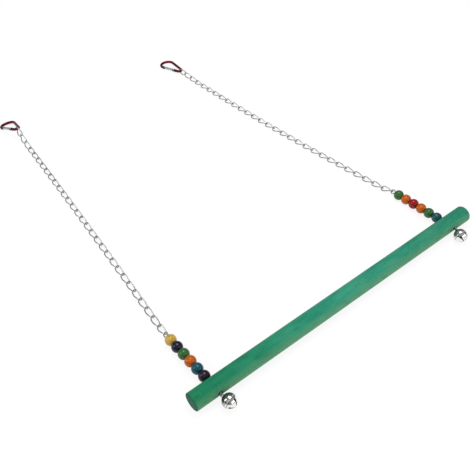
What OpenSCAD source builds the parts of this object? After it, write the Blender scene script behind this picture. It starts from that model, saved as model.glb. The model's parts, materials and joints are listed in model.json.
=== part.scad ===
/* [Perch] */
// Length of the wooden perch
perch_length = 400; // [260:5:480]
// Diameter of the wooden perch
perch_d = 20; // [16:0.5:24]
// Distance from the perch's left end to its cross hole
left_inset = 27; // [18:0.5:60]
// Distance from the perch's right end to its cross hole
right_inset = 28.5; // [18:0.5:60]
// Rounding of the perch's end edges
perch_edge = 1.2; // [0.6:0.1:2.5]
// Depth of the recesses in the perch that take the eyes for the bells
eye_recess = 1.8; // [1:0.2:3]

/* [Hanger wires] */
// Thickness of the stiff wire that goes through the perch
wire_d = 1.3; // [1.1:0.1:1.4]
// Inner diameter of the eye that holds the chain
chain_eye = 3.8; // [3.4:0.1:5]
// Inner diameter of the eye that holds the bell
bell_eye = 1.8; // [1.7:0.1:2.4]

/* [Beads] */
// Number of beads on each wire
bead_count = 6; // [2:1:7]
// Diameter of a wooden bead
bead_d = 12.5; // [10:0.5:14]
// Length of a bead along its hole
bead_length = 11.5; // [9:0.1:11.8]

/* [Bells] */
// Outer diameter of a bell
bell_d = 15.6; // [14:0.2:18]
// Thickness of the bell's sheet metal
bell_wall = 0.5; // [0.4:0.05:0.8]
// Diameter of the loose pellet in a bell
pellet_d = 5; // [3.5:0.5:6]
// Width of the crossed slots in a bell
slot_w = 1.3; // [0.8:0.1:2]
// Diameter of the round hole at each end of a slot
slot_end_d = 2.6; // [2.2:0.1:3.2]
// Thickness of the wire loop on a bell
shank_d = 1; // [0.8:0.1:1.2]
// Inner diameter of the wire loop on a bell
shank_eye = 2.3; // [2.1:0.1:2.6]

/* [Chains] */
// Thickness of the chain wire
link_wire = 1.4; // [1.2:0.05:1.6]
// Distance that each link adds to the chain
link_pitch = 14.7; // [12:0.05:18]
// Outer width of a link
link_width = 7.6; // [7.4:0.1:9]
// Number of links in the left chain
left_links = 30; // [8:1:30]
// Number of links in the right chain
right_links = 29; // [8:1:30]

/* [Snap hooks] */
// Thickness of the snap hook's rod
rod_d = 4; // [3.4:0.1:4.2]
// Bend radius at the wide end, to the middle of the rod
wide_bend = 10; // [8:0.5:14]
// Bend radius at the narrow end, to the middle of the rod
narrow_bend = 3.8; // [3.6:0.1:5]
// Distance between the centres of the two bends
bend_spacing = 30; // [28:0.5:45]
// Thickness of the gate
gate_d = 3.8; // [3.4:0.1:4]
// Distance from the narrow bend to the gate's rivet
gate_start = 8; // [8:0.5:12]
// Length of the straight nose that meets the gate
nose_length = 2; // [1.5:0.1:4]
// Thickness of the rivet
rivet_d = 1.5; // [1.2:0.1:1.8]

/* [Lie] */
// Lean of the left chain towards the right, in degrees
left_lean = 4.8; // [0:0.2:10]
// Lean of the right chain towards the right, in degrees
right_lean = -4.2; // [-10:0.2:0]
// Change of heading along the left chain, in degrees
left_sweep = 1.6; // [-10:0.2:10]
// Change of heading along the right chain, in degrees
right_sweep = -5.8; // [-10:0.2:10]
// Rise of the left chain's end onto its snap hook, in degrees
left_rise = 24; // [1:1:36]
// Rise of the right chain's end onto its snap hook, in degrees
right_rise = 1; // [1:1:36]
// Turn of the left snap hook on the table, in degrees
left_hook_turn = 5; // [-20:1:20]
// Turn of the right snap hook on the table, in degrees
right_hook_turn = 6; // [-20:1:20]

/* [Hidden] */
$fn = 48;
SIDES = ["left", "right"];
LINKS_PER_NODE = 2;

// Clearances between pieces
seat_gap = 0.3;
running_gap = 0.1;
bead_gap = 0.2;
link_gap = 0.45;
ring_gap = 0.35;
eye_gap = 0.6;
shank_gap = 0.3;
floor_gap = 0.02;
overrun = 1;

// Perch
perch_r = perch_d / 2;

// Wire, measured along it from the perch's axis
wire_r = wire_d / 2;
chain_eye_r = (chain_eye + wire_d) / 2;
bell_eye_r = (bell_eye + wire_d) / 2;
bead_first = perch_r + seat_gap + bead_length / 2;
bead_pitch = bead_length + bead_gap;
bead_last = bead_first + (bead_count - 1) * bead_pitch;
bead_end = bead_last + bead_length / 2;
chain_eye_y = bead_end + seat_gap + chain_eye_r + wire_r;
bell_eye_y = perch_r - eye_recess + seat_gap + bell_eye_r + wire_r;
recess_d = bell_eye + 2 * wire_d + 2 * seat_gap;
eye_turn = 338;
// The wire slopes until the last bead rests on the table
lay = asin((perch_r - bead_d / 2 - floor_gap) / bead_last);

// Bell, pellet and slots
bell_r = bell_d / 2;
seam_proud = 0.25;
seam_half = 0.45;
shank_r = (shank_eye + shank_d) / 2;
slot_reach = 56;
bell_turns = [10, 45];
// The shank loop sinks into the crown until the eye's wire clears the sheet metal
bell_drop = bell_r + wire_r + shank_gap;
shank_drop = shank_r - wire_r - shank_d / 2 - ring_gap;
// The bell lies on the table with its axis towards the middle of the eye, and is swung a
// little sideways about the far side of the eye's wire
bell_swings = [18, -14];
bell_eye_z = perch_r + bell_eye_y * sin(lay);
bell_tip = asin((bell_eye_z - bell_r - seam_proud - floor_gap) / (bell_drop + bell_eye_r));
pellet_fall = bell_r - bell_wall - pellet_d / 2 - running_gap;

// Link, with its two end bows square to each other
link_r = link_wire / 2;
bow_r = (link_width - link_wire) / 2;
link_half = (link_pitch + link_wire + link_gap) / 2;
link_straight = link_half - bow_r;
bow_tilt = 45;
link_sides = 6;
bow_steps = 6;
side_steps = 2;
// The last links turn on edge and climb so that none of them dips into the table
edge_turns = [15, 30, 45];
edge_rises = [2.5, 2, 0];
rise_shares = [0.25, 0.6, 1];
chain_z = bow_r * sin(bow_tilt) + link_r + floor_gap;

// Snap hook, with its narrow bend's centre as origin and its wide end towards +Y
rod_r = rod_d / 2;
taper = asin((wide_bend - narrow_bend) / bend_spacing);
arm_length = sqrt(bend_spacing * bend_spacing - pow(wide_bend - narrow_bend, 2));
hook_reach = narrow_bend + bend_spacing + wide_bend;
gate_r = gate_d / 2;
gate_length = arm_length - gate_start - nose_length - seat_gap;
tongue = 1.6;
tongue_r = rod_r - running_gap;
ear_r = gate_r + 2 * running_gap;
ear_share = 0.8;
ear_half = rod_r * ear_share;
stub_length = ear_r + 2 * seat_gap;
rivet_head_share = 0.8;
rivet_head_r = rivet_d * rivet_head_share;
rivet_head = 0.3;
side_gap = 0.15;
blade = [2.6, 2.4, 1.4];
nose_step = 0.2;
nose_lap = 1;
// The bends are a hair thicker than the straight rod, which reaches a little way into them
bend_swell = 0.02;
bend_lap = 0.3;
spring_d = 2;
spring_wire = 0.36;
spring_length = 6.5;
spring_turns = 5;
spring_sides = 5;
spring_steps = 8;

// Sizes that depend on the side
function hole_x(side) =
    side == "left" ? left_inset - perch_length / 2 : perch_length / 2 - right_inset;
function links(side) = side == "left" ? left_links : right_links;
function lean(side) = side == "left" ? left_lean : right_lean;
function sweep(side) = side == "left" ? left_sweep : right_sweep;
function rise(side) = side == "left" ? left_rise : right_rise;
function hook_turn(side) = side == "left" ? left_hook_turn : right_hook_turn;
function bell_swing(side) = side == "left" ? bell_swings[0] : bell_swings[1];
function bell_turn(side) = side == "left" ? bell_turns[0] : bell_turns[1];
function link_nodes(side) = ceil(links(side) / LINKS_PER_NODE);

// Direction of a link from the perch towards its snap hook
function from_end(side, k) = k - links(side) + len(edge_turns) - 1;
function near_end(side, k) = from_end(side, k) >= 0 && k <= links(side);
function heading(side, k) = lean(side) + sweep(side) * (0.5 - (k - 0.5) / links(side));
function edge_turn(side, k) = near_end(side, k) ? edge_turns[from_end(side, k)] : 0;
function climb(side, k) =
    k == 1 ? asin((chain_z - link_start(side)[2]) / (link_half + link_pitch / 2))
    : !near_end(side, k) ? 0
    : edge_rises[from_end(side, k)] + rise(side) * rise_shares[from_end(side, k)];
function along(turn, slope) = [sin(turn) * cos(slope), cos(turn) * cos(slope), sin(slope)];
function link_dir(side, k) = along(heading(side, k), climb(side, k));

// Points on the sloping wire, on the chain and on the hook, before the frame's shift
function on_wire(side, y) = [hole_x(side), y * cos(lay), perch_r - y * sin(lay)];
function link_start(side) =
    on_wire(side, chain_eye_y + chain_eye_r - wire_r - link_r - eye_gap);
function link_centres(side) = [
    for (k = 1, c = link_start(side) + link_half * link_dir(side, 1);
        k <= links(side);
        c = c + link_pitch / 2 * (link_dir(side, k) + link_dir(side, k + 1)), k = k + 1) c
];
function rod_point(side) =
    link_centres(side)[links(side) - 1]
    + (link_half - link_r - link_gap - rod_r) * link_dir(side, links(side));
function hook_slope(side) = -asin((rod_point(side)[2] - rod_r - floor_gap) / hook_reach);
function hook_dir(side) = along(-hook_turn(side), hook_slope(side));
function hook_centre(side) = rod_point(side) + narrow_bend * hook_dir(side);
function bell_axis(side) = along(-bell_swing(side), bell_tip);
function bell_pivot(side) = on_wire(side, -bell_eye_y) - bell_eye_r * along(0, bell_tip);
function bell_centre(side) = bell_pivot(side) - bell_drop * bell_axis(side);

// The origin is under the middle of everything that lies on the table
function hook_top(side) = hook_centre(side)[1] + bend_spacing * hook_dir(side)[1] + wide_bend + rod_r;
back_y = min(bell_centre("left")[1], bell_centre("right")[1]) - bell_r;
front_y = max(hook_top("left"), hook_top("right"));
shift = [0, -(back_y + front_y) / 2, 0];

// Rings of a closed tube along a link: each place on the outline has its outward
// direction, and the whole outline is twisted about Y between its two straight sides
function outline_at(t) =
    let (turn = t[1])
    [bow_r * cos(turn), t[0] * link_straight + bow_r * sin(turn), 0];
function twist_at(share) = bow_tilt * share;
function turned(p, a) = [p[0] * cos(a) + p[2] * sin(a), p[1], -p[0] * sin(a) + p[2] * cos(a)];
end_bow = [for (i = [0:bow_steps]) [1, i * 180 / bow_steps]];
left_side = [for (i = [1:side_steps]) [1 - 2 * i / (side_steps + 1), 180]];
start_bow = [for (i = [0:bow_steps]) [-1, 180 + i * 180 / bow_steps]];
right_side = [for (i = [1:side_steps]) [-1 + 2 * i / (side_steps + 1), 0]];
link_rings = concat(end_bow, left_side, start_bow, right_side);
ring_count = len(link_rings);
function ring_centre(i) =
    let (t = link_rings[(i + ring_count) % ring_count])
    turned(outline_at(t), twist_at(t[0]));
function ring_out(i) =
    let (t = link_rings[i])
    turned([cos(t[1]), sin(t[1]), 0], twist_at(t[0]));
function unit(v) = v / norm(v);
function ring_points(i) =
    let (ahead = unit(ring_centre(i + 1) - ring_centre(i - 1)))
    let (flat = ring_out(i) - (ring_out(i) * ahead) * ahead)
    let (out = unit(flat), side = cross(ahead, out))
    [for (j = [0:link_sides - 1])
        let (a = j * 360 / link_sides)
        ring_centre(i) + link_r * (cos(a) * out + sin(a) * side)];
link_points = [for (i = [0:ring_count - 1], p = ring_points(i)) p];
function tube_faces(rings, sides, closed) = [
    for (i = [0:rings - (closed ? 1 : 2)], j = [0:sides - 1])
        let (a = i * sides, b = ((i + 1) % rings) * sides, k = (j + 1) % sides)
        for (f = [[a + j, b + j, a + k], [a + k, b + j, b + k]]) f
];
link_faces = tube_faces(ring_count, link_sides, true);

// Rings of the spring's helix, open at both ends
spring_r = (spring_d - spring_wire) / 2;
spring_rings = spring_turns * spring_steps + 1;
spring_rise = (spring_length - spring_wire) / (spring_rings - 1);
spring_points = [
    for (i = [0:spring_rings - 1], j = [0:spring_sides - 1])
        let (a = i * 360 / spring_steps, b = j * 360 / spring_sides)
        let (r = spring_r + spring_wire / 2 * cos(b))
        [r * cos(a), r * sin(a), spring_wire / 2 + i * spring_rise + spring_wire / 2 * sin(b)]
];
spring_faces = concat(
    [[for (j = [0:spring_sides - 1]) j]],
    tube_faces(spring_rings, spring_sides, false),
    [[for (j = [spring_sides - 1:-1:0]) (spring_rings - 1) * spring_sides + j]]
);

// Frames in which the pieces are drawn
module on_perch(side) {
    translate(shift + [0, 0, perch_r]) rotate([-lay, 0, 0])
        translate([hole_x(side), 0, 0]) children();
}
module on_bell(side) {
    translate(shift + bell_centre(side)) rotate([bell_tip - 90, 0, bell_swing(side)]) children();
}
module on_link(side, k) {
    translate(shift + link_centres(side)[k - 1])
        rotate([climb(side, k), 0, -heading(side, k)])
            rotate([0, edge_turn(side, k), 0]) children();
}
module on_hook(side) {
    translate(shift + hook_centre(side)) rotate([hook_slope(side), 0, hook_turn(side)]) children();
}
module on_gate(side) {
    on_hook(side) rotate([0, 0, taper])
        translate([-narrow_bend, gate_start, 0]) children();
}
module bar(length, d) {
    rotate([-90, 0, 0]) cylinder(h = length, d = d);
}
module ring(r, d) {
    rotate_extrude() translate([r, 0]) circle(d = d);
}
module bend(r, turn) {
    rotate_extrude(angle = turn) translate([r, 0]) circle(d = rod_d + 2 * bend_swell);
}

// Dowel with two cross holes, each with a wider recess for the eye, and eased end edges
module perch() {
    color("seagreen")
        translate(shift + [0, 0, perch_r]) rotate([-lay, 0, 0])
            difference() {
                translate([-perch_length / 2, 0, 0]) rotate([0, 90, 0]) rotate_extrude($fn = 96) {
                    translate([0, perch_edge])
                        square([perch_r, perch_length - 2 * perch_edge]);
                    square([perch_r - perch_edge, perch_length]);
                    for (y = [perch_edge, perch_length - perch_edge])
                        translate([perch_r - perch_edge, y]) circle(r = perch_edge);
                }
                for (side = SIDES) translate([hole_x(side), -perch_r - overrun, 0]) {
                    bar(perch_d + 2 * overrun, wire_d + 2 * running_gap);
                    bar(eye_recess + overrun, recess_d);
                }
            }
}

// Eye at the end of the wire, open by a hair beside its neck
module eye(r) {
    rotate([0, 0, -90]) rotate_extrude(angle = eye_turn) translate([r, 0]) circle(d = wire_d);
}

module wire(side) {
    color("silver") on_perch(side) {
        translate([0, -bell_eye_y + bell_eye_r, 0])
            bar(bell_eye_y - bell_eye_r + chain_eye_y - chain_eye_r, wire_d);
        translate([0, chain_eye_y, 0]) rotate([0, bow_tilt, 0]) eye(chain_eye_r);
        translate([0, -bell_eye_y, 0]) rotate([0, 90, 180]) eye(bell_eye_r);
    }
}

// Ball with flat ends and a hole for the wire
module bead(side, i) {
    color(side == "left" ? "indigo" : "orangered")
        on_perch(side) translate([0, bead_first + (i - 1) * bead_pitch, 0])
            difference() {
                intersection() {
                    sphere(d = bead_d);
                    translate([0, -bead_length / 2, 0]) bar(bead_length, bead_d + overrun);
                }
                translate([0, -bead_length / 2 - overrun, 0])
                    bar(bead_length + 2 * overrun, wire_d + 2 * running_gap);
            }
}

// Half shell of the bell with its half of the seam, on the side of Z above zero
module half_shell() {
    rotate_extrude($fn = 72) {
        intersection() {
            difference() {
                circle(r = bell_r);
                circle(r = bell_r - bell_wall);
            }
            square(bell_r + overrun);
        }
        translate([bell_r - bell_wall, 0]) square([bell_wall + seam_proud, seam_half]);
    }
}

module bell_crown(side) {
    color("gainsboro") on_bell(side) {
        half_shell();
        translate([0, 0, bell_drop - shank_drop]) rotate([90, 0, 0]) ring(shank_r, shank_d);
    }
}

module bell_cup(side) {
    color("gainsboro") on_bell(side) rotate([180, 0, bell_turn(side)])
        difference() {
            half_shell();
            for (a = [0, 90]) rotate([0, 0, a]) {
                intersection() {
                    translate([-slot_w / 2, -bell_r, 0]) cube([slot_w, bell_d, bell_d]);
                    translate([0, -bell_r * sin(slot_reach), 0]) translate([-bell_r, 0, 0])
                        cube([bell_d, bell_d * sin(slot_reach), bell_d]);
                }
                for (tip = [slot_reach, -slot_reach]) rotate([tip, 0, 0])
                    cylinder(h = bell_d, d = slot_end_d);
            }
        }
}

module bell_pellet(side) {
    color("dimgray")
        translate(shift + bell_centre(side) - [0, 0, pellet_fall]) sphere(d = pellet_d);
}

module link(side, k) {
    on_link(side, k) polyhedron(points = link_points, faces = link_faces);
}

module chain(side, i) {
    color("lightslategray")
        for (k = [(i - 1) * LINKS_PER_NODE + 1:min(i * LINKS_PER_NODE, links(side))]) link(side, k);
}

// Bent rod: wide bend, long arm, narrow bend and the short arm that carries the gate
module hook_body(side) {
    color("darkred") {
        on_hook(side) rotate([0, 0, -taper]) {
            translate([narrow_bend, -bend_lap, 0]) bar(arm_length + 2 * bend_lap, rod_d);
            translate([narrow_bend - wide_bend, arm_length, 0])
                bend(wide_bend, 180 + 2 * taper);
            rotate([0, 0, 180 + 2 * taper]) bend(narrow_bend, 180 - 2 * taper);
        }
        on_gate(side) {
            translate([0, -gate_start - bend_lap, 0])
                bar(bend_lap + gate_start - stub_length + seat_gap, rod_d);
            difference() {
                union() {
                    intersection() {
                        translate([0, -stub_length, 0]) bar(stub_length, rod_d);
                        cube([rod_d, 2 * stub_length, tongue], center = true);
                    }
                    cylinder(h = tongue, r = tongue_r, center = true);
                }
                cylinder(h = rod_d, d = rivet_d + 2 * running_gap, center = true);
            }
            translate([0, gate_length + seat_gap, 0])
                bar(nose_length + nose_lap, rod_d + 2 * nose_step);
            translate([-blade[0] / 2, gate_length + seat_gap - blade[1], -blade[2] / 2])
                cube([blade[0], blade[1] + nose_lap, blade[2]]);
        }
    }
}

// Straight gate, forked round the tongue at its rivet and round the blade at its tip
module hook_gate(side) {
    color("silver") on_gate(side) difference() {
        union() {
            bar(gate_length, gate_d);
            cylinder(h = 2 * ear_half, r = ear_r, center = true);
        }
        translate([-ear_r - overrun, -ear_r - overrun, -tongue / 2 - side_gap])
            cube([2 * (ear_r + overrun), ear_r + overrun + tongue_r + seat_gap, tongue + 2 * side_gap]);
        translate([-rod_r, gate_length - blade[1] - seat_gap, -blade[2] / 2 - side_gap])
            cube([rod_d, blade[1] + seat_gap + overrun, blade[2] + 2 * side_gap]);
        bar(tongue_r + 2 * seat_gap + spring_length, spring_d + 2 * running_gap);
        cylinder(h = rod_d, d = rivet_d, center = true);
        for (turn = [0, 180]) rotate([turn, 0, 0])
            translate([0, 0, ear_half]) cylinder(h = rod_d, r = rivet_head_r + side_gap);
    }
}

module hook_rivet(side) {
    color("gray") on_gate(side) {
        cylinder(h = 2 * ear_half, d = rivet_d, center = true);
        for (turn = [0, 180]) rotate([turn, 0, 0])
            translate([0, 0, ear_half]) cylinder(h = rivet_head, r = rivet_head_r);
    }
}

module hook_spring(side) {
    color("gray") on_gate(side) translate([0, tongue_r + seat_gap, 0]) rotate([-90, 0, 0])
        polyhedron(points = spring_points, faces = spring_faces);
}

perch();
for (s = SIDES) {
    wire(s);
    for (i = [1:bead_count]) bead(s, i);
    bell_crown(s);
    bell_cup(s);
    bell_pellet(s);
    for (i = [1:link_nodes(s)]) chain(s, i);
    hook_body(s);
    hook_gate(s);
    hook_rivet(s);
    hook_spring(s);
}
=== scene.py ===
"""Looks of a bird swing that lies on a table.

A dyed perch, lacquered beads, jingle bells, twisted chains and snap hooks.
"""
import json
import math

import bmesh
import bpy
from mathutils import Matrix, Vector, noise


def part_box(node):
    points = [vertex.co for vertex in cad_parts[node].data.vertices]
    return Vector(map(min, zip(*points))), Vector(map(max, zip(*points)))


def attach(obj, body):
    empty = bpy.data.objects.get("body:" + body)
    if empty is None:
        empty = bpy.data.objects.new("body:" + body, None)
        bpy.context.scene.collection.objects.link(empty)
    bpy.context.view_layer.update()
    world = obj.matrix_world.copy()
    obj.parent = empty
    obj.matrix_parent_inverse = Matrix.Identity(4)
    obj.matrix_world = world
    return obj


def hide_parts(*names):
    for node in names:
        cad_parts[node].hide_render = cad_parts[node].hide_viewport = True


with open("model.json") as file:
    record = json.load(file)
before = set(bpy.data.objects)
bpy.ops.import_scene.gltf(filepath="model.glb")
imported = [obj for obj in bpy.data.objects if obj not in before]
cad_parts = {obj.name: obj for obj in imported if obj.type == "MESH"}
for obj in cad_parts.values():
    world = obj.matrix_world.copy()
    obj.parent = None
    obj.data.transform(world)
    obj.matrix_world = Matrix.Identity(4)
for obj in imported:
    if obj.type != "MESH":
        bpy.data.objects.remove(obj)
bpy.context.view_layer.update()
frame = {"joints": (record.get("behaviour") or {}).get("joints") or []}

Y = Vector((0, 1, 0))
SIDES = ("left", "right")

# Sizes of the pieces, in metres and degrees, as in the part's source
PERCH_LENGTH, PERCH_R, PERCH_EDGE, EYE_RECESS = 0.400, 0.010, 0.0012, 0.0018
SEAT_GAP, RUNNING_GAP, BEAD_GAP, EYE_GAP, FLOOR_GAP = 0.0003, 0.0001, 0.0002, 0.0006, 0.00002
WIRE_R, CHAIN_EYE_R, BELL_EYE_R = 0.00065, 0.00255, 0.00155
BEAD_R, BEAD_LENGTH, BEAD_COUNT = 0.00625, 0.0115, 6
BELL_R, BELL_WALL, BELL_TURNS = 0.0078, 0.0005, {"left": 10, "right": 45}
BELL_SWINGS = {"left": 18, "right": -14}
SHANK_R, SHANK_WIRE_R, SHANK_GAP, RING_GAP = 0.00165, 0.0005, 0.0003, 0.00035
BELL_DROP = BELL_R + WIRE_R + SHANK_GAP
SHANK_DROP = SHANK_R - WIRE_R - SHANK_WIRE_R - RING_GAP
SLOT_W, SLOT_END_R, SLOT_REACH, PELLET_R = 0.0013, 0.0013, 56, 0.0025
LINK_R, LINK_PITCH, LINK_WIDTH, LINK_GAP = 0.0007, 0.0147, 0.0076, 0.00045
BOW_R = LINK_WIDTH / 2 - LINK_R
LINK_HALF = (LINK_PITCH + 2 * LINK_R + LINK_GAP) / 2
LINK_STRAIGHT = LINK_HALF - BOW_R
BOW_TILT = 45
LINKS = {"left": 30, "right": 29}
LEANS, SWEEPS = {"left": 4.8, "right": -4.2}, {"left": 1.6, "right": -5.8}
RISES, HOOK_TURNS = {"left": 24, "right": 1}, {"left": 5, "right": 6}
EDGE_RISES, RISE_SHARES = (2.5, 2, 0), (0.25, 0.6, 1)
CHAIN_Z = BOW_R * math.sin(math.radians(BOW_TILT)) + LINK_R + FLOOR_GAP
ROD_R, WIDE_BEND, NARROW_BEND, BEND_SPACING = 0.002, 0.010, 0.0038, 0.030
GATE_R, GATE_START, NOSE_LENGTH, NOSE_STEP, NOSE_LAP = 0.0019, 0.008, 0.002, 0.0002, 0.001
TAPER = math.degrees(math.asin((WIDE_BEND - NARROW_BEND) / BEND_SPACING))
ARM_LENGTH = math.sqrt(BEND_SPACING ** 2 - (WIDE_BEND - NARROW_BEND) ** 2)
GATE_LENGTH = ARM_LENGTH - GATE_START - NOSE_LENGTH - SEAT_GAP
TONGUE, TONGUE_R, EAR_R, EAR_HALF = 0.0016, 0.0019, 0.0021, 0.0016
RIVET_R, RIVET_HEAD_R, RIVET_HEAD, SIDE_GAP = 0.00075, 0.0012, 0.0003, 0.00015
TONGUE_BACK = EAR_R + 2 * SEAT_GAP
BLADE_WIDTH, BLADE_LENGTH, BLADE_THICKNESS, BLOCK_LENGTH = 0.0026, 0.0024, 0.0014, 0.0034
SPRING_R, SPRING_WIRE_R, SPRING_LENGTH, SPRING_TURNS = 0.00082, 0.00018, 0.0065, 5

# The links lie where the solids do but are drawn with the photograph's twist: the other way, and less
# than BOW_TILT. The last three turn on their edge, so that the chain still ends upright round the hook
DRAWN_TILT, EDGE_TURNS = -36, (-18, -36, -54)

# Overlap of pieces that are welded together, distance within which points are merged, a hair's breadth
# between faces that would lie in each other, and a length that cuts right through any piece of a hook
WELD, MERGE, HAIR, THROUGH = 0.0002, 0.000002, 0.00001, 0.006

joints = {j["name"]: j for j in frame["joints"]}
perch_low, perch_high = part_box("perch")
PERCH_Y = (perch_low.y + perch_high.y) / 2

# The camera stands where the photograph was taken from, measured from the middle of the perch
CAMERA_PLACE = Vector((-0.34869, PERCH_Y - 0.28823, 0.54197))
CAMERA_AZIMUTH, CAMERA_ELEVATION, CAMERA_ROLL = -36.072, 44.532, -3.136
CAMERA_LENS = 49.27


def rotated(x=0, y=0, z=0):
    """Turn about X, then Y, then Z, in degrees."""
    return (Matrix.Rotation(math.radians(z), 4, "Z") @ Matrix.Rotation(math.radians(y), 4, "Y")
            @ Matrix.Rotation(math.radians(x), 4, "X"))


def moved(place):
    return Matrix.Translation(Vector(place))


def along(turn, slope):
    """Direction that is turned from +Y towards +X and lifted, in degrees."""
    t, s = math.radians(turn), math.radians(slope)
    return Vector((math.sin(t) * math.cos(s), math.cos(t) * math.cos(s), math.sin(s)))


# Places of the pieces

def wire_frame(side):
    """Wire's hole in the perch, with +Y along the wire towards the chain."""
    joint = joints[side + "_wire_turn"]
    axis = Vector(joint["axis"])
    return moved(joint["pos_m"]) @ rotated(x=math.degrees(math.asin(axis.z)))


def bell_frame(side):
    """Bell's centre, with +Z towards its loop."""
    joint = joints[side + "_bell_swing"]
    tip = math.degrees(math.asin(-joint["axis"][1]))
    swing = BELL_SWINGS[side]
    return moved(Vector(joint["pos_m"]) - BELL_DROP * along(-swing, tip)) @ rotated(x=tip - 90, z=swing)


def link_frames(side):
    """Middle of each link from the perch on, with +Y along the link."""
    count = LINKS[side]
    first_bow = wire_frame(side) @ Vector((0, chain_eye_y() + CHAIN_EYE_R - WIRE_R - LINK_R - EYE_GAP, 0))
    first_climb = math.degrees(math.asin((CHAIN_Z - first_bow.z) / (LINK_HALF + LINK_PITCH / 2)))
    frames, centre, last = [], None, None
    for k in range(1, count + 1):
        # Counts the links that turn on their edge from 0 on, below 0 for all the others
        end = k - count + len(EDGE_TURNS) - 1
        heading = LEANS[side] + SWEEPS[side] * (0.5 - (k - 0.5) / count)
        edge = EDGE_TURNS[end] if end >= 0 else 0
        climb = EDGE_RISES[end] + RISES[side] * RISE_SHARES[end] if end >= 0 else 0
        if k == 1:
            climb = first_climb
        way = along(heading, climb)
        centre = first_bow + LINK_HALF * way if last is None else centre + LINK_PITCH / 2 * (last + way)
        last = way
        frames.append(moved(centre) @ rotated(x=climb, z=-heading) @ rotated(y=edge))
    return frames


def chain_eye_y():
    bead_end = PERCH_R + SEAT_GAP + BEAD_COUNT * BEAD_LENGTH + (BEAD_COUNT - 1) * BEAD_GAP
    return bead_end + SEAT_GAP + CHAIN_EYE_R + WIRE_R


def bell_eye_y():
    return PERCH_R - EYE_RECESS + SEAT_GAP + BELL_EYE_R + WIRE_R


def hook_frame(side):
    """Centre of the narrow bend, with +Y towards the wide bend."""
    joint = joints[side + "_hook_swing"]
    rod = Vector(joint["pos_m"])
    slope = -math.asin((rod.z - ROD_R - FLOOR_GAP) / (NARROW_BEND + BEND_SPACING + WIDE_BEND))
    turn = HOOK_TURNS[side]
    lie = rotated(x=math.degrees(slope), z=turn)
    return moved(rod + NARROW_BEND * (lie @ Y)) @ lie


def gate_frame(side):
    """Rivet of the gate, with +Y along the gate."""
    return hook_frame(side) @ rotated(z=TAPER) @ moved((-NARROW_BEND, GATE_START, 0))


# Modelling steps

def let_go():
    bpy.ops.object.select_all(action="DESELECT")


def take(piece):
    let_go()
    piece.select_set(True)
    bpy.context.view_layer.objects.active = piece


def fresh(name):
    """Names the primitive that was just added."""
    piece = bpy.context.object
    piece.name = piece.data.name = name
    return piece


def settle(piece):
    """Puts the piece's place into its mesh."""
    take(piece)
    bpy.ops.object.transform_apply(location=True, rotation=True, scale=True)
    return piece


def brought(piece, matrix):
    piece.data.transform(matrix)
    piece.data.update()
    return piece


def smooth(piece, angle=40):
    take(piece)
    bpy.ops.object.shade_smooth_by_angle(angle=math.radians(angle))
    return piece


def finished(piece, kind, **settings):
    """Adds a modifier and applies it."""
    take(piece)
    modifier = piece.modifiers.new(kind.title(), kind)
    for key, value in settings.items():
        setattr(modifier, key, value)
    bpy.ops.object.modifier_apply(modifier=modifier.name)
    return piece


def softened(piece, width, angle, segments=2):
    """Rounds off the edges that are sharper than the angle."""
    return finished(piece, "BEVEL", width=width, segments=segments, limit_method="ANGLE",
                    angle_limit=math.radians(angle))


def shaped(piece, operation, *tools):
    """Cuts the tools from the piece or welds them to it."""
    for tool in tools:
        finished(piece, "BOOLEAN", object=tool, operation=operation, solver="EXACT")
        bpy.data.objects.remove(tool)
    return piece


def turned(name, outline, steps, closed=True):
    """Spins an outline of (radius, height) about Z."""
    let_go()
    bpy.ops.mesh.primitive_circle_add(vertices=len(outline), radius=0.01, fill_type="NOTHING")
    piece = fresh(name)
    for vertex, (radius, height) in zip(piece.data.vertices, outline):
        vertex.co = (radius, 0, height)
    bpy.ops.object.mode_set(mode="EDIT")
    if not closed:
        mesh = bmesh.from_edit_mesh(piece.data)
        mesh.verts.ensure_lookup_table()
        ends = {mesh.verts[0], mesh.verts[len(outline) - 1]}
        bmesh.ops.delete(mesh, geom=[e for e in mesh.edges if set(e.verts) == ends], context="EDGES")
        bmesh.update_edit_mesh(piece.data)
    bpy.ops.mesh.select_all(action="SELECT")
    bpy.ops.mesh.spin(steps=steps, angle=math.tau, center=(0, 0, 0), axis=(0, 0, 1))
    bpy.ops.mesh.select_all(action="SELECT")
    bpy.ops.mesh.remove_doubles(threshold=MERGE)
    bpy.ops.mesh.normals_make_consistent(inside=False)
    bpy.ops.object.mode_set(mode="OBJECT")
    return piece


def drum(name, radius, height, place=(0, 0, 0), turn=(0, 0, 0), vertices=64):
    let_go()
    bpy.ops.mesh.primitive_cylinder_add(vertices=vertices, radius=radius, depth=height, location=place,
                                        rotation=[math.radians(a) for a in turn])
    return settle(fresh(name))


def slab(name, size, place=(0, 0, 0)):
    let_go()
    bpy.ops.mesh.primitive_cube_add(size=1, location=place)
    piece = fresh(name)
    piece.scale = size
    return settle(piece)


def swept(name, points, radius, sides):
    """Round wire or rod along a line of points."""
    let_go()
    bpy.ops.curve.primitive_nurbs_path_add()
    path = fresh(name)
    path.data.splines.clear()
    line = path.data.splines.new("POLY")
    line.points.add(len(points) - 1)
    for knot, point in zip(line.points, points):
        knot.co = (*point, 1)
    path.data.bevel_depth = radius
    path.data.bevel_resolution = sides
    path.data.use_fill_caps = True
    path.data.twist_mode = "MINIMUM"
    path.location = (0, 0, 0)
    take(path)
    bpy.ops.object.convert(target="MESH")
    piece = bpy.context.object
    bpy.ops.object.mode_set(mode="EDIT")
    bpy.ops.mesh.select_all(action="SELECT")
    bpy.ops.mesh.remove_doubles(threshold=MERGE)
    bpy.ops.mesh.normals_make_consistent(inside=False)
    bpy.ops.object.mode_set(mode="OBJECT")
    return piece


def twin(piece, name):
    copy = piece.copy()
    copy.data = piece.data.copy()
    copy.name = copy.data.name = name
    bpy.context.scene.collection.objects.link(copy)
    return copy


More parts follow.
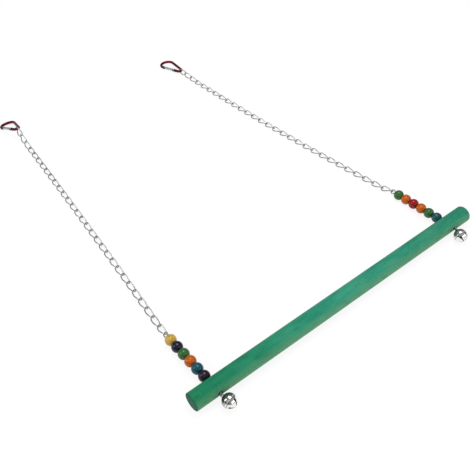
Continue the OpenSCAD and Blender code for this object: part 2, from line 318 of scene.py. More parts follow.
def arc(centre, radius, start, end, steps):
    """Points of an arc in the XY plane, angles in degrees."""
    for i in range(steps + 1):
        a = math.radians(start + (end - start) * i / steps)
        yield Vector((centre[0] + radius * math.cos(a), centre[1] + radius * math.sin(a), 0))


def put(piece, body, node, material):
    """Hands a finished piece to its body in place of the CAD node."""
    piece.data.materials.clear()
    piece.data.materials.append(material)
    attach(piece, body)
    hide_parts(node)


# Finishes

def socket(tree, name, kind, side, value=None):
    made = tree.interface.new_socket(name=name, in_out=side, socket_type="NodeSocket" + kind)
    if value is not None:
        made.default_value = value


def add(tree, kind, values=None, **settings):
    """Adds a node, with its settings and its inputs as values or links."""
    node = tree.nodes.new(kind)
    for key, value in settings.items():
        setattr(node, key, value)
    for key, value in (values or {}).items():
        if isinstance(value, bpy.types.NodeSocket):
            tree.links.new(value, node.inputs[key])
        else:
            node.inputs[key].default_value = value
    return node


def ramp(tree, factor, *stops):
    node = add(tree, "ShaderNodeValToRGB", {"Fac": factor})
    while len(node.color_ramp.elements) < len(stops):
        node.color_ramp.elements.new(0.5)
    for element, (place, colour) in zip(node.color_ramp.elements, stops):
        element.position = place
        element.color = (*colour, 1)
    return node.outputs["Color"]


def grain_group():
    """Wood grain that runs along X: streaks, mottling, open pores and a height."""
    tree = bpy.data.node_groups.new("wood_grain", "ShaderNodeTree")
    socket(tree, "Place", "Vector", "INPUT")
    socket(tree, "Streak width", "Float", "INPUT", 0.0008)
    socket(tree, "Mottle size", "Float", "INPUT", 0.03)
    socket(tree, "Pore amount", "Float", "INPUT", 0.5)
    for name in ("Streaks", "Mottle", "Pores", "Height"):
        socket(tree, name, "Float", "OUTPUT")
    given, result = add(tree, "NodeGroupInput"), add(tree, "NodeGroupOutput")

    def noise_along(stretch, size, values):
        """Noise of a given size, drawn out along the grain."""
        drawn = add(tree, "ShaderNodeVectorMath", {0: given.outputs["Place"], 1: (stretch, 1, 1)},
                    operation="MULTIPLY")
        rate = add(tree, "ShaderNodeMath", {0: 1.0, 1: given.outputs[size]}, operation="DIVIDE")
        values.update({"Vector": drawn.outputs[0], "Scale": rate.outputs[0]})
        return add(tree, "ShaderNodeTexNoise", values).outputs["Fac"]

    streaks = noise_along(0.03, "Streak width", {"Detail": 4, "Roughness": 0.6, "Distortion": 0.2})
    mottle = noise_along(0.45, "Mottle size", {"Detail": 3, "Roughness": 0.55, "Distortion": 0.6})
    pits = noise_along(0.12, "Streak width", {"Detail": 1, "Roughness": 0.4})
    fewest_pores, most_pores, pore_depth = 0.78, 0.62, 0.7
    edge = add(tree, "ShaderNodeMath", {0: fewest_pores, 1: given.outputs["Pore amount"]},
               operation="SUBTRACT")
    edge = add(tree, "ShaderNodeMath", {0: edge.outputs[0], 1: most_pores}, operation="MAXIMUM")
    pores = add(tree, "ShaderNodeMapRange", {"Value": pits, "From Min": edge.outputs[0],
                                             "From Max": fewest_pores}).outputs[0]
    sunk = add(tree, "ShaderNodeMath", {0: pores, 1: -pore_depth, 2: streaks}, operation="MULTIPLY_ADD")
    for name, value in (("Streaks", streaks), ("Mottle", mottle), ("Pores", pores),
                        ("Height", sunk.outputs[0])):
        tree.links.new(value, result.inputs[name])
    return tree


def handling_group():
    """Small marks and smudges that handling leaves on a finish."""
    tree = bpy.data.node_groups.new("handling_marks", "ShaderNodeTree")
    socket(tree, "Place", "Vector", "INPUT")
    socket(tree, "Mark size", "Float", "INPUT", 0.004)
    socket(tree, "Shine", "Float", "INPUT", 0.1)
    socket(tree, "Smudge", "Float", "INPUT", 0.2)
    for name in ("Roughness", "Marks", "Height"):
        socket(tree, name, "Float", "OUTPUT")
    given, result = add(tree, "NodeGroupInput"), add(tree, "NodeGroupOutput")
    rate = add(tree, "ShaderNodeMath", {0: 1.0, 1: given.outputs["Mark size"]}, operation="DIVIDE")
    cloud = add(tree, "ShaderNodeTexNoise", {"Vector": given.outputs["Place"], "Scale": rate.outputs[0],
                                             "Detail": 3, "Roughness": 0.6})
    dents_per_mark = 7.0
    fine_rate = add(tree, "ShaderNodeMath", {0: rate.outputs[0], 1: dents_per_mark}, operation="MULTIPLY")
    fine = add(tree, "ShaderNodeTexNoise", {"Vector": given.outputs["Place"],
                                            "Scale": fine_rate.outputs[0], "Detail": 2, "Roughness": 0.5})
    marks = add(tree, "ShaderNodeMapRange", {"Value": cloud.outputs["Fac"], "From Min": 0.42,
                                             "From Max": 0.72}).outputs[0]
    rough = add(tree, "ShaderNodeMath", {0: marks, 1: given.outputs["Smudge"], 2: given.outputs["Shine"]},
                operation="MULTIPLY_ADD")
    for name, value in (("Roughness", rough.outputs[0]), ("Marks", marks),
                        ("Height", fine.outputs["Fac"])):
        tree.links.new(value, result.inputs[name])
    return tree


GRAIN, HANDLING = grain_group(), handling_group()


def blank(name):
    material = bpy.data.materials.new(name)
    material.use_nodes = True
    tree = material.node_tree
    surface = next(n for n in tree.nodes if n.type == "BSDF_PRINCIPLED")
    return material, tree, surface


def darker(colour, share):
    return tuple(c * share for c in colour)


def mixed(tree, factor, first, second, blend="MIX"):
    node = add(tree, "ShaderNodeMix", data_type="RGBA", blend_type=blend)
    for key, value in ((0, factor), (6, first), (7, second)):
        if isinstance(value, bpy.types.NodeSocket):
            tree.links.new(value, node.inputs[key])
        elif key:
            node.inputs[key].default_value = (*value, 1)
        else:
            node.inputs[key].default_value = value
    return node.outputs[2]


def bumped(tree, surface, height, distance, strength):
    bump = add(tree, "ShaderNodeBump", {"Height": height, "Distance": distance, "Strength": strength})
    tree.links.new(bump.outputs["Normal"], surface.inputs["Normal"])


def towards_outline(tree, start, most):
    """Mask that grows from none to the most towards the outline of a round piece."""
    weight = add(tree, "ShaderNodeLayerWeight", {"Blend": 0.35})
    return add(tree, "ShaderNodeMapRange", {"Value": weight.outputs["Facing"], "From Min": start,
                                            "From Max": 0.95, "To Max": most}).outputs[0]


def dyed_wood():
    """Soft green dye on bare wood.

    It took unevenly, darker in the pores and on the sawn ends. Its paler, greyer low front is a painted
    reflection of the white table, and its darker outline is painted shade.
    """
    left_dye, middle_dye, right_dye = (0.013, 0.182, 0.088), (0.032, 0.258, 0.166), (0.026, 0.204, 0.128)
    painted_reflection_tone, pore_dye = (0.112, 0.272, 0.146), (0.006, 0.080, 0.045)
    sawn_dye, painted_edge_shade = (0.012, 0.104, 0.056), (0.004, 0.050, 0.030)
    streak_share, pore_share, face_depth = 0.75, 0.6, 0.0001
    low_front = Vector((0, -0.86, -0.50)) / PERCH_R
    material, tree, surface = blank("green_dyed_wood")
    place = add(tree, "ShaderNodeTexCoord").outputs["Object"]
    grain = add(tree, "ShaderNodeGroup", {"Place": place, "Streak width": 0.0011, "Mottle size": 0.016,
                                          "Pore amount": 0.14}, node_tree=GRAIN)
    length = add(tree, "ShaderNodeSeparateXYZ", {0: place}).outputs["X"]
    share = add(tree, "ShaderNodeMapRange", {"Value": length, "From Min": -PERCH_LENGTH / 2,
                                             "From Max": PERCH_LENGTH / 2})
    dye = ramp(tree, share.outputs[0], (0.05, left_dye), (0.45, middle_dye), (0.95, right_dye))
    mottle = ramp(tree, grain.outputs["Mottle"], (0.32, (0.66, 0.82, 0.80)), (0.52, (1.0, 1.0, 1.0)),
                  (0.72, (1.8, 1.06, 1.0)))
    dye = mixed(tree, 1.0, dye, mottle, "MULTIPLY")
    # Painted reflection of the white table: the low front is mixed towards a paler, greyer green
    across = add(tree, "ShaderNodeVectorMath", {0: place, 1: (0, -PERCH_Y, -PERCH_R)}, operation="ADD")
    frontness = add(tree, "ShaderNodeVectorMath", {0: across.outputs[0], 1: low_front},
                    operation="DOT_PRODUCT")
    painted_reflection_share = add(tree, "ShaderNodeMapRange", {"Value": frontness.outputs["Value"], "From Min": 0.05,
                                               "From Max": 0.90, "To Max": 0.80})
    dye = mixed(tree, painted_reflection_share.outputs[0], dye, painted_reflection_tone)
    streak = ramp(tree, grain.outputs["Streaks"], (0.30, (0.86, 0.90, 0.87)), (0.62, (1.06, 1.03, 1.02)))
    tone = mixed(tree, streak_share, dye, streak, "MULTIPLY")
    specks = add(tree, "ShaderNodeMath", {0: grain.outputs["Pores"], 1: pore_share}, operation="MULTIPLY")
    tone = mixed(tree, specks.outputs[0], tone, pore_dye)
    out = add(tree, "ShaderNodeMath", {0: length}, operation="ABSOLUTE")
    sawn = add(tree, "ShaderNodeMapRange", {"Value": out.outputs[0],
                                            "From Min": PERCH_LENGTH / 2 - PERCH_EDGE,
                                            "From Max": PERCH_LENGTH / 2 - face_depth})
    tone = mixed(tree, sawn.outputs[0], tone, sawn_dye)
    # Painted shade: darker towards the outline, where the dowel turns away from the view
    tone = mixed(tree, towards_outline(tree, 0.62, 0.55), tone, painted_edge_shade)
    tree.links.new(tone, surface.inputs["Base Color"])
    rough = add(tree, "ShaderNodeMapRange", {"Value": grain.outputs["Mottle"], "To Min": 0.38,
                                             "To Max": 0.52})
    tree.links.new(rough.outputs[0], surface.inputs["Roughness"])
    surface.inputs["Specular IOR Level"].default_value = 0.03
    bumped(tree, surface, grain.outputs["Height"], distance=0.00012, strength=0.6)
    return material


def lacquered(name, deep, bright, grain_share):
    """Dyed round bead under clear lacquer, its grain showing through."""
    material, tree, surface = blank(name + "_bead")
    place = add(tree, "ShaderNodeTexCoord").outputs["Object"]
    across = add(tree, "ShaderNodeMapping", {"Vector": place, "Rotation": (0.3, 0.2, 1.1)})
    grain = add(tree, "ShaderNodeGroup", {"Place": across.outputs[0], "Streak width": 0.0012,
                                          "Mottle size": 0.0042, "Pore amount": 0.04}, node_tree=GRAIN)
    tone = mixed(tree, grain.outputs["Mottle"], deep, bright)
    streak = ramp(tree, grain.outputs["Streaks"], (0.35, (1 - grain_share,) * 3),
                  (0.62, (1 + grain_share / 2,) * 3))
    tone = mixed(tree, 1.0, tone, streak, "MULTIPLY")
    tone = mixed(tree, grain.outputs["Pores"], tone, darker(deep, 0.35))
    # Painted shade: darker towards the outline of the bead
    tone = mixed(tree, towards_outline(tree, 0.45, 0.75), tone, darker(deep, 0.25))
    tree.links.new(tone, surface.inputs["Base Color"])
    marks = add(tree, "ShaderNodeGroup", {"Place": place, "Shine": 0.26, "Smudge": 0.12},
                node_tree=HANDLING)
    tree.links.new(marks.outputs["Roughness"], surface.inputs["Roughness"])
    surface.inputs["Specular IOR Level"].default_value = 0.1
    surface.inputs["Coat Weight"].default_value = 0.45
    surface.inputs["Coat Roughness"].default_value = 0.06
    bumped(tree, surface, grain.outputs["Height"], distance=0.00005, strength=0.5)
    return material


def metal(name, colour, shine, smudge, mark_size, bump, darkening=None, painted_shade=None):
    """Metal with the smudges and small dents that handling leaves.

    Painted shade covers it where the mesh says so: inside a bell, beside its seam, on its crown and on
    its loop.
    """
    material, tree, surface = blank(name)
    place = add(tree, "ShaderNodeTexCoord").outputs["Object"]
    marks = add(tree, "ShaderNodeGroup", {"Place": place, "Mark size": mark_size, "Shine": shine,
                                          "Smudge": smudge}, node_tree=HANDLING)
    tree.links.new(marks.outputs["Roughness"], surface.inputs["Roughness"])
    tone = mixed(tree, marks.outputs["Marks"], colour, darkening or darker(colour, 0.8))
    if painted_shade:
        # Painted shade, as much as the mesh's shaded attribute gives
        shaded = add(tree, "ShaderNodeAttribute", attribute_name="shaded")
        tone = mixed(tree, shaded.outputs["Fac"], tone, painted_shade)
    tree.links.new(tone, surface.inputs["Base Color"])
    surface.inputs["Metallic"].default_value = 1.0
    bumped(tree, surface, marks.outputs["Height"], bump, strength=0.5)
    return material


PERCH_WOOD = dyed_wood()

# Beads from the perch on: dark and light tone, and how much the grain shows
BEADS = {"left": ("plum", "teal", "orange", "green", "indigo", "yellow"),
         "right": ("dark_teal", "green", "orange", "red", "orange", "green")}
BEAD_FINISH = {
    "plum": lacquered("plum", (0.012, 0.008, 0.016), (0.018, 0.008, 0.022), 0.25),
    "teal": lacquered("teal", (0.002, 0.048, 0.072), (0.004, 0.085, 0.110), 0.25),
    "orange": lacquered("orange", (0.350, 0.056, 0.001), (0.530, 0.118, 0.002), 0.35),
    "green": lacquered("green", (0.014, 0.071, 0.014), (0.041, 0.153, 0.035), 0.35),
    "indigo": lacquered("indigo", (0.005, 0.003, 0.019), (0.015, 0.007, 0.037), 0.25),
    "yellow": lacquered("yellow", (0.400, 0.228, 0.026), (0.580, 0.386, 0.075), 0.25),
    "dark_teal": lacquered("dark_teal", (0.004, 0.042, 0.052), (0.014, 0.103, 0.112), 0.25),
    "red": lacquered("red", (0.180, 0.002, 0.005), (0.310, 0.005, 0.012), 0.30)}

# Metals: colour, shine, smudge, size of the marks and depth of the dents
PLATED_WIRE = metal("plated_wire", (0.30, 0.30, 0.31), 0.26, 0.22, 0.003, 0.00003)
NICKEL = (0.88, 0.88, 0.87)
# Bright nickel, with painted shade where a bell's mesh marks it
BRIGHT_NICKEL = metal("bright_nickel", NICKEL, 0.07, 0.10, 0.005, 0.00004, darkening=darker(NICKEL, 0.85),
                      painted_shade=(0.030, 0.030, 0.030))
PLAIN_STEEL = metal("plain_steel", (0.34, 0.34, 0.35), 0.30, 0.25, 0.002, 0.00004)
CHAIN_ZINC = metal("chain_zinc", (0.420, 0.425, 0.425), 0.34, 0.16, 0.004, 0.00003)
RED_ANODISED = metal("red_anodised", (0.190, 0.013, 0.032), 0.34, 0.18, 0.004, 0.00002,
                     darkening=(0.105, 0.009, 0.019))
# Black on the hooks' noses, and painted shade on their hinge blocks
BLACK_NOSE_AND_PAINTED_SHADE = metal("black_nose_and_painted_shade", (0.030, 0.030, 0.032), 0.38, 0.20, 0.003, 0.00002)
GATE_ALUMINIUM = metal("gate_aluminium", (0.60, 0.61, 0.61), 0.30, 0.20, 0.003, 0.00002)


# Perch

def make_perch():
    """Dowel with eased ends, not quite even, with a hole and a recess for the bell's eye at each end."""
    rings, edge_steps, around = 100, 6, 96
    half, flat, span = PERCH_LENGTH / 2, PERCH_R - PERCH_EDGE, PERCH_LENGTH / 2 - PERCH_EDGE
    end = [(0, -half), (flat * 0.5, -half)]
    for i in range(edge_steps + 1):
        a = math.radians(90 * i / edge_steps)
        end.append((flat + PERCH_EDGE * math.sin(a), -half + PERCH_EDGE * (1 - math.cos(a))))
    side_points = [(PERCH_R, -span + 2 * span * i / rings) for i in range(1, rings)]
    outline = end + side_points + [(r, -z) for r, z in reversed(end)]
    dowel = brought(turned("perch_dowel", outline, around, closed=False), rotated(y=90))
    long_waves, cross_waves, most_hollow = 25, 90, 0.009
    for vertex in dowel.data.vertices:
        p = vertex.co
        uneven = 0.5 + 0.5 * noise.noise(Vector((p.x * long_waves, p.y * cross_waves, p.z * cross_waves)))
        vertex.co = (p.x, *(Vector((p.y, p.z)) * (1 - most_hollow * uneven)))
    tip = math.degrees(math.asin(joints["left_wire_turn"]["axis"][2]))
    brought(dowel, moved((0, PERCH_Y, PERCH_R)) @ rotated(x=tip))
    for side in SIDES:
        hole = drum("hole", WIRE_R + RUNNING_GAP, 3 * PERCH_R, turn=(90, 0, 0), vertices=32)
        recess = drum("recess", BELL_EYE_R + WIRE_R + SEAT_GAP, 2 * EYE_RECESS, (0, -PERCH_R, 0),
                      (90, 0, 0), vertices=40)
        shaped(dowel, "DIFFERENCE", *[brought(tool, wire_frame(side)) for tool in (hole, recess)])
    smooth(dowel, 50)
    put(dowel, "perch", "perch", PERCH_WOOD)


# Hanger wires

# Angles at which the wire enters an eye and ends in it
EYE_START, CHAIN_EYE_END, BELL_EYE_END = -74, 246, 232


def eye_path(radius, end):
    """Neck and eye of a wire that comes up the Y axis, eye centre at the origin."""
    steps = 40
    bends = ((0, 0.0010), (0.00004, 0.0006), (0.00016, 0.00026), (0.00042, 0.00002))
    neck = [Vector((out, -radius - down, 0)) for out, down in bends]
    return neck + list(arc((0, 0), radius, EYE_START, end, steps))


def make_wire(side):
    """Stiff wire with an eye at each end, the chain's eye turned to suit the drawn links."""
    chain_turn = moved((0, chain_eye_y(), 0)) @ rotated(y=DRAWN_TILT)
    bell_turn = moved((0, -bell_eye_y(), 0)) @ rotated(y=90, z=180)
    chain_eye = [chain_turn @ p for p in eye_path(CHAIN_EYE_R, CHAIN_EYE_END)]
    bell_eye = [bell_turn @ p for p in eye_path(BELL_EYE_R, BELL_EYE_END)]
    wire = swept(side + "_hanger_wire", bell_eye[::-1] + chain_eye, WIRE_R, sides=5)
    softened(wire, width=0.00015, angle=60)
    brought(wire, wire_frame(side))
    smooth(wire, 45)
    put(wire, side + "_wire", side + "_wire", PLATED_WIRE)


# Beads

def make_bead():
    """Turned bead with a softly broken edge round its bore."""
    bore, half, lip, brim = WIRE_R + RUNNING_GAP, BEAD_LENGTH / 2, 0.00025, 0.00035
    cap = math.asin(half / BEAD_R)
    steps, around = 28, 48
    angles = [-cap + 2 * cap * i / steps for i in range(steps + 1)]
    outer = [(BEAD_R * math.cos(a), BEAD_R * math.sin(a)) for a in angles]
    face = outer[-1][0]
    top = [(face - brim, half), (bore + lip, half), (bore + lip * 0.3, half - lip * 0.3),
           (bore, half - lip)]
    outline = outer + top + [(bore, 0)] + [(r, -z) for r, z in reversed(top)]
    return brought(turned("bead", outline, around), rotated(x=-90))


def make_beads():
    """Six beads a side, each turned further so that no two show the same grain."""
    pattern = make_bead()
    grain_turn, first_turns = 67, {"left": 0, "right": 31}
    for side in SIDES:
        for i, colour in enumerate(BEADS[side]):
            name = "%s_bead_%d" % (side, i + 1)
            bead = twin(pattern, name + "_wood")
            place = PERCH_R + SEAT_GAP + BEAD_LENGTH / 2 + i * (BEAD_LENGTH + BEAD_GAP)
            turn = rotated(y=grain_turn * i + first_turns[side])
            brought(bead, wire_frame(side) @ moved((0, place, 0)) @ turn)
            smooth(bead)
            put(bead, name, name, BEAD_FINISH[colour])
    bpy.data.objects.remove(pattern)


# Bells

# Painted shade on a band beside the seam, and how much painted shade darkens each crown and its loop, as
# the photograph shows them
SEAM_SHADE_Z, SEAM_SHADE_HALF, SEAM_SHADE_DARK = 0.0012, 0.0008, 0.85
CROWN_SHADE, LOOP_SHADE = {"left": 0.72, "right": 0.45}, 0.7
BELL_STEPS = 96


def shell_outline():
    """Section of half a bell with its rolled rim at the seam."""
    inner, rim, steps = BELL_R - BELL_WALL, 0.00025, 26
    above_rim = 0.0006
    low = math.asin(above_rim / BELL_R)
    angles = [math.pi / 2 - (math.pi / 2 - low) * i / steps for i in range(steps + 1)]
    outside = [(BELL_R * math.cos(a), BELL_R * math.sin(a)) for a in angles]
    roll = ((0.7, 0.00045), (1, 0.00030), (1, 0.00012), (0.6, HAIR))
    lip = [(BELL_R + rim * share, height) for share, height in roll] + [(inner, HAIR)]
    inside = [(inner * math.cos(a), inner * math.sin(a)) for a in reversed(angles)]
    outside[0], inside[-1] = (0, BELL_R), (0, inner)
    return outside + lip + inside


def shade_bell(shell, crown_shade=0.0):
    """Paints shade on the inside of a half bell, on a band beside its rim and, by a share, on its crown.
    """
    shade_from, shade_over = 0.12, 0.25
    layer = shell.data.attributes.new("shaded", "FLOAT", "POINT")
    for vertex, dark in zip(shell.data.vertices, layer.data):
        # Painted shade in a band beside the rim
        seam_shade = SEAM_SHADE_DARK * max(0, 1 - abs(vertex.co.z - SEAM_SHADE_Z) / SEAM_SHADE_HALF)
        # Painted shade and reflection of the perch's dark underside on the crown, growing towards the
        # loop
        darkening = crown_shade * min(1, max(0, (vertex.co.z / BELL_R - shade_from) / shade_over))
        # Painted shade: near black inside the bell, elsewhere the darker of the seam band and the crown's
        # share
        dark.value = 1.0 if vertex.co.length < BELL_R - BELL_WALL / 2 else max(seam_shade, darkening)
    return shell


def make_crown(side, place):
    """Upper half of the bell with the wire loop that it hangs by."""
    crown = turned(side + "_bell_crown_shell", shell_outline(), BELL_STEPS, closed=False)
    brought(shade_bell(crown, CROWN_SHADE[side]), place)
    smooth(crown)
    let_go()
    bpy.ops.mesh.primitive_torus_add(major_segments=48, minor_segments=14, major_radius=SHANK_R,
                                     minor_radius=SHANK_WIRE_R)
    loop = fresh(side + "_bell_loop")
    # Painted shade over the whole loop
    layer = loop.data.attributes.new("shaded", "FLOAT", "POINT")
    layer.data.foreach_set("value", [LOOP_SHADE] * len(loop.data.vertices))
    brought(loop, place @ moved((0, 0, BELL_DROP - SHANK_DROP)) @ rotated(x=90))
    smooth(loop, 60)
    for piece in (crown, loop):
        put(piece, side + "_bell", side + "_bell_crown", BRIGHT_NICKEL)


def make_cup(side, place):
    """Lower half of the bell with two crossed slots that end in round holes."""
    cup = turned(side + "_bell_cup_shell", shell_outline(), BELL_STEPS, closed=False)
    reach = BELL_R * math.sin(math.radians(SLOT_REACH))
    slot_place = 0.7 * BELL_R
    for turn in (0, 90):
        slot = slab("slot", (SLOT_W, 2 * reach, BELL_R), (0, 0, slot_place))
        shaped(cup, "DIFFERENCE", brought(slot, rotated(z=turn)))
        for tip in (SLOT_REACH, -SLOT_REACH):
            end = drum("slot_end", SLOT_END_R, BELL_R, (0, 0, BELL_R), vertices=28)
            shaped(cup, "DIFFERENCE", brought(end, rotated(z=turn) @ rotated(x=tip)))
    softened(cup, width=0.00008, angle=50)
    brought(shade_bell(cup), place @ rotated(z=BELL_TURNS[side]) @ rotated(x=180))
    smooth(cup)
    put(cup, side + "_bell", side + "_bell_cup", BRIGHT_NICKEL)


def make_pellet(side):
    """Tumbled steel ball, loose in the bell."""
    let_go()
    bpy.ops.mesh.primitive_ico_sphere_add(subdivisions=4, radius=PELLET_R)
    ball = fresh(side + "_bell_ball")
    waves, most_hollow = 1500, 0.02
    for vertex in ball.data.vertices:
        vertex.co *= 1 - most_hollow * (0.5 + 0.5 * noise.noise(vertex.co * waves))
    low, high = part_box(side + "_bell_pellet")
    brought(ball, moved((low + high) / 2))
    smooth(ball, 60)
    put(ball, side + "_pellet", side + "_bell_pellet", PLAIN_STEEL)


def make_bell(side):
    """Crown and cup pressed together at the seam, with a pellet in them."""
    place = bell_frame(side)
    make_crown(side, place)
    make_cup(side, place)
    make_pellet(side)


# Chains

def make_link():
    """Ring of wire drawn out to an oval and twisted between its bows."""
    let_go()
    bpy.ops.mesh.primitive_torus_add(major_segments=40, minor_segments=12, major_radius=BOW_R,
                                     minor_radius=LINK_R)
    link = fresh("link")
    side_cuts, stretched = 5, 0.8 * LINK_STRAIGHT
    bpy.ops.object.mode_set(mode="EDIT")
    bpy.ops.mesh.select_mode(type="VERT")
    for way in (1, -1):
        bpy.ops.mesh.select_all(action="DESELECT")
        mesh = bmesh.from_edit_mesh(link.data)
        for vertex in mesh.verts:
            vertex.select = vertex.co.y * way > HAIR
        mesh.select_flush_mode()
        bmesh.update_edit_mesh(link.data)
        bpy.ops.transform.translate(value=(0, way * LINK_STRAIGHT, 0))
    bpy.ops.mesh.select_all(action="DESELECT")
    mesh = bmesh.from_edit_mesh(link.data)
    for edge in mesh.edges:
        edge.select = edge.calc_length() > stretched
    bmesh.update_edit_mesh(link.data)
    bpy.ops.mesh.subdivide(number_cuts=side_cuts)
    bpy.ops.object.mode_set(mode="OBJECT")
    extent = LINK_HALF + LINK_R
    share = (extent - LINK_STRAIGHT) / (2 * extent)
    finished(link, "SIMPLE_DEFORM", deform_method="TWIST", deform_axis="Y",
             angle=math.radians(2 * DRAWN_TILT), limits=(share, 1 - share))
    return link


def make_chains():
    """Chains from the perch on, two links to a body."""
    pattern = make_link()
    for side in SIDES:
        for k, place in enumerate(link_frames(side)):
            link = twin(pattern, "%s_link_%02d" % (side, k + 1))
            brought(link, place)
            smooth(link, 60)
            node = "%s_chain_%d" % (side, k // 2 + 1)
            put(link, node, node, CHAIN_ZINC)
    bpy.data.objects.remove(pattern)


# Snap hooks

def make_hook_rod(side, place):
    """Rod bent into a narrow and a wide bend, from the hinge block round to the nose."""
    in_arm, in_gate = rotated(z=-TAPER), rotated(z=TAPER) @ moved((-NARROW_BEND, GATE_START, 0))
    narrow_steps, arm_steps, wide_steps = 24, 8, 56
    path = [in_gate @ Vector((0, WELD - reach, 0)) for reach in (TONGUE_BACK + BLOCK_LENGTH, GATE_START)]
    path += list(arc((0, 0), NARROW_BEND, 180 + TAPER, 360 - TAPER, narrow_steps))
    path += [in_arm @ Vector((NARROW_BEND, ARM_LENGTH * i / arm_steps, 0)) for i in range(1, arm_steps)]
    path += list(arc((0, BEND_SPACING), WIDE_BEND, -TAPER, 180 + TAPER, wide_steps))
    rod = brought(swept(side + "_hook_rod", path, ROD_R, sides=8), place)
    smooth(rod)
    put(rod, side + "_hook", side + "_hook_body", RED_ANODISED)


def make_hook_fittings(side, gate_place):
    """Nose with the blade that the gate closes on, and hinge block with the tongue that it turns on."""
    seat = GATE_LENGTH + SEAT_GAP
    nose = drum(side + "_hook_nose", ROD_R + NOSE_STEP, NOSE_LENGTH + NOSE_LAP,
                (0, seat + (NOSE_LENGTH + NOSE_LAP) / 2, 0), (90, 0, 0))
    softened(nose, width=0.00035, angle=60, segments=3)
    shaped(nose, "UNION", slab("blade", (BLADE_WIDTH, BLADE_LENGTH + NOSE_LAP, BLADE_THICKNESS),
                               (0, seat + (NOSE_LAP - BLADE_LENGTH) / 2, 0)))
    block_step = 0.00015
    block = drum(side + "_hinge_block", ROD_R + block_step, BLOCK_LENGTH,
                 (0, SEAT_GAP - TONGUE_BACK - BLOCK_LENGTH / 2, 0), (90, 0, 0))
    softened(block, width=0.00030, angle=60, segments=3)
    neck = slab("neck", (2 * TONGUE_R - WELD, TONGUE_BACK + WELD, TONGUE - 2 * HAIR),
                (0, -TONGUE_BACK / 2, 0))
    shaped(block, "UNION", neck, drum("tongue", TONGUE_R, TONGUE))
    shaped(block, "DIFFERENCE", drum("rivet_hole", RIVET_R + RUNNING_GAP, THROUGH, vertices=32))
    # Both are black: on the hinge block it is painted shade of the fork's gap round the rivet, and the
    # nose is black
    for fitting in (block, nose):
        softened(fitting, width=0.00012, angle=50)
        brought(fitting, gate_place)
        smooth(fitting)
        put(fitting, side + "_hook", side + "_hook_body", BLACK_NOSE_AND_PAINTED_SHADE)


def make_gate(side, gate_place):
    """Round bar with a fork at the hinge, a slit for the blade and a bore for the spring."""
    gate = drum(side + "_gate_bar", GATE_R, GATE_LENGTH, (0, GATE_LENGTH / 2, 0), (90, 0, 0))
    shaped(gate, "UNION", drum("ears", EAR_R, 2 * EAR_HALF))
    fork = slab("fork", (THROUGH, ROD_R + EAR_R + TONGUE_R + SEAT_GAP, TONGUE + 2 * SIDE_GAP),
                (0, (TONGUE_R + SEAT_GAP - ROD_R - EAR_R) / 2, 0))
    slit = slab("slit", (THROUGH, BLADE_LENGTH + SEAT_GAP + NOSE_LAP, BLADE_THICKNESS + 2 * SIDE_GAP),
                (0, GATE_LENGTH + (NOSE_LAP - BLADE_LENGTH - SEAT_GAP) / 2, 0))
    bore_length = TONGUE_R + 2 * SEAT_GAP + SPRING_LENGTH
    bore = drum("bore", SPRING_R + SPRING_WIRE_R + RUNNING_GAP, bore_length, (0, bore_length / 2, 0),
                (90, 0, 0), vertices=32)
    shaped(gate, "DIFFERENCE", fork, slit, bore)
    seat_depth = 0.004
    for way in (1, -1):
        shaped(gate, "DIFFERENCE", drum("rivet_seat", RIVET_HEAD_R + SIDE_GAP, seat_depth,
                                        (0, 0, way * (EAR_HALF + seat_depth / 2)), vertices=40))
    softened(gate, width=0.00012, angle=50)
    brought(gate, gate_place)
    smooth(gate)
    put(gate, side + "_gate", side + "_hook_gate", GATE_ALUMINIUM)


def make_rivet(side, gate_place):
    """Rivet through the gate's ears and the tongue, with a low dome at each end."""
    dome, around = ((0, 1), (0.6, 1), (0.9, 0.7), (1, 0.3), (1, 0)), 40
    head = [(RIVET_HEAD_R * across, -EAR_HALF - RIVET_HEAD * up) for across, up in dome]
    head.append((RIVET_R, -EAR_HALF))
    outline = head + [(r, -z) for r, z in reversed(head)]
    rivet = turned(side + "_gate_rivet", outline, around, closed=False)
    brought(rivet, gate_place)
    smooth(rivet)
    put(rivet, side + "_gate", side + "_hook_rivet", PLAIN_STEEL)


def make_spring(side, gate_place):
    """Coil in the gate's bore that pushes on the tongue."""
    per_turn = 24
    steps = per_turn * SPRING_TURNS
    foot, rise = TONGUE_R + SEAT_GAP + SPRING_WIRE_R, SPRING_LENGTH - 2 * SPRING_WIRE_R
    coil = []
    for i in range(steps + 1):
        a = math.tau * i / per_turn
        coil.append(Vector((SPRING_R * math.cos(a), foot + rise * i / steps, -SPRING_R * math.sin(a))))
    spring = swept(side + "_gate_spring", coil, SPRING_WIRE_R, sides=2)
    brought(spring, gate_place)
    smooth(spring, 60)
    put(spring, side + "_gate", side + "_hook_spring", PLAIN_STEEL)


def make_hook(side):
    gate_place = gate_frame(side)
    make_hook_rod(side, hook_frame(side))
    make_hook_fittings(side, gate_place)
    make_gate(side, gate_place)
    make_rivet(side, gate_place)
    make_spring(side, gate_place)


# Floor, light and camera

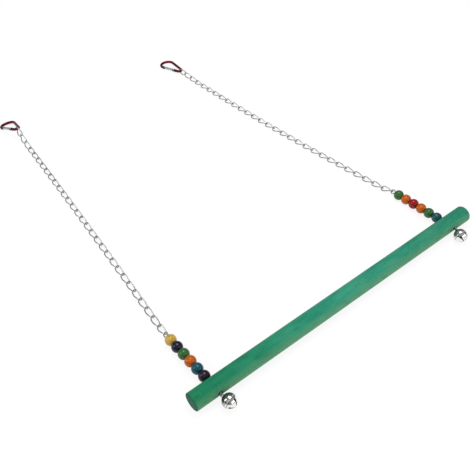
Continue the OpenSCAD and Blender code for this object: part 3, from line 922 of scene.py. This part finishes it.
def lit_white(name, keep):
    """White that the camera and reflections see, with a share kept for the object's soft shadow."""
    material, tree, surface = blank(name)
    tree.nodes.remove(surface)
    path = add(tree, "ShaderNodeLightPath")
    seen = path.outputs["Is Camera Ray"]
    for ray in ("Is Glossy Ray", "Is Transmission Ray"):
        seen = add(tree, "ShaderNodeMath", {0: seen, 1: path.outputs[ray]},
                   operation="MAXIMUM").outputs[0]
    share = add(tree, "ShaderNodeMath", {0: seen, 1: 1 - keep}, operation="MULTIPLY")
    paper = add(tree, "ShaderNodeBsdfDiffuse", {"Color": (0.92, 0.92, 0.92, 1)})
    glow = add(tree, "ShaderNodeEmission", {"Color": (1, 1, 1, 1), "Strength": 1.0})
    both = add(tree, "ShaderNodeMixShader", {0: share.outputs[0], 1: paper.outputs[0],
                                             2: glow.outputs[0]})
    output = next(n for n in tree.nodes if n.type == "OUTPUT_MATERIAL")
    tree.links.new(both.outputs[0], output.inputs["Surface"])
    return material


def make_floor():
    size, below = 8, 0.00005
    let_go()
    bpy.ops.mesh.primitive_plane_add(size=size, location=(0, 0, -below))
    floor = settle(fresh("table_top"))
    floor.data.materials.append(lit_white("white_table", keep=0.12))


def make_room():
    """White behind the object, even light on it, and a room with a dark band for the metals to mirror."""
    world = bpy.data.worlds.new("soft_room")
    bpy.context.scene.world = world
    world.use_nodes = True
    tree = world.node_tree
    tree.nodes.clear()
    way = add(tree, "ShaderNodeTexCoord").outputs["Generated"]
    height = add(tree, "ShaderNodeSeparateXYZ", {0: way}).outputs["Z"]
    even_grey, greys = 0.62, ((0.02, 0.30), (0.20, 0.12), (0.55, 0.30), (0.95, 0.50))
    room = ramp(tree, height, *[(place, (grey, grey, grey)) for place, grey in greys])
    path = add(tree, "ShaderNodeLightPath")
    soft = mixed(tree, path.outputs["Is Diffuse Ray"], room, (even_grey,) * 3)
    seen = mixed(tree, path.outputs["Is Camera Ray"], soft, (1.0, 1.0, 1.0))
    back = add(tree, "ShaderNodeBackground", {"Color": seen, "Strength": 1.0})
    out = add(tree, "ShaderNodeOutputWorld")
    tree.links.new(back.outputs[0], out.inputs["Surface"])


def make_lamps():
    for name, place, aim, size, power in (
            ("lamp_overhead", (0.15, 0.05, 1.30), (0, 0, 0), (0.7, 0.7), 9.0),
            ("lamp_left", (-1.20, 0.35, 0.80), (0, 0, 0), (0.5, 0.9), 5.0),
            ("lamp_front", (0.30, -1.30, 0.45), (0, PERCH_Y, 0), (1.2, 0.4), 5.0)):
        lamp = bpy.data.lights.new(name, "AREA")
        lamp.shape = "RECTANGLE"
        lamp.size, lamp.size_y = size
        lamp.energy = power
        holder = bpy.data.objects.new(name, lamp)
        holder.location = place
        holder.rotation_euler = (Vector(aim) - Vector(place)).to_track_quat("-Z", "Y").to_euler()
        bpy.context.scene.collection.objects.link(holder)


def make_camera():
    lens = bpy.data.cameras.new("photo_lens")
    lens.sensor_width, lens.lens = 36, CAMERA_LENS
    lens.clip_start, lens.clip_end = 0.01, 20
    camera = bpy.data.objects.new("photo_camera", lens)
    a, e = math.radians(CAMERA_AZIMUTH), math.radians(CAMERA_ELEVATION)
    back = Vector((math.sin(a) * math.cos(e), -math.cos(a) * math.cos(e), math.sin(e)))
    level = Vector((math.cos(a), math.sin(a), 0))
    up = back.cross(level)
    roll = math.radians(CAMERA_ROLL)
    right = math.cos(roll) * level + math.sin(roll) * up
    above = -math.sin(roll) * level + math.cos(roll) * up
    turn = Matrix((right, above, back)).transposed()
    camera.matrix_world = moved(CAMERA_PLACE) @ turn.to_4x4()
    bpy.context.scene.collection.objects.link(camera)
    bpy.context.scene.camera = camera


bpy.context.scene.view_settings.view_transform = "Standard"
make_camera()
make_floor()
make_room()
make_lamps()
make_perch()
make_beads()
make_chains()
for side in SIDES:
    make_wire(side)
    make_bell(side)
    make_hook(side)
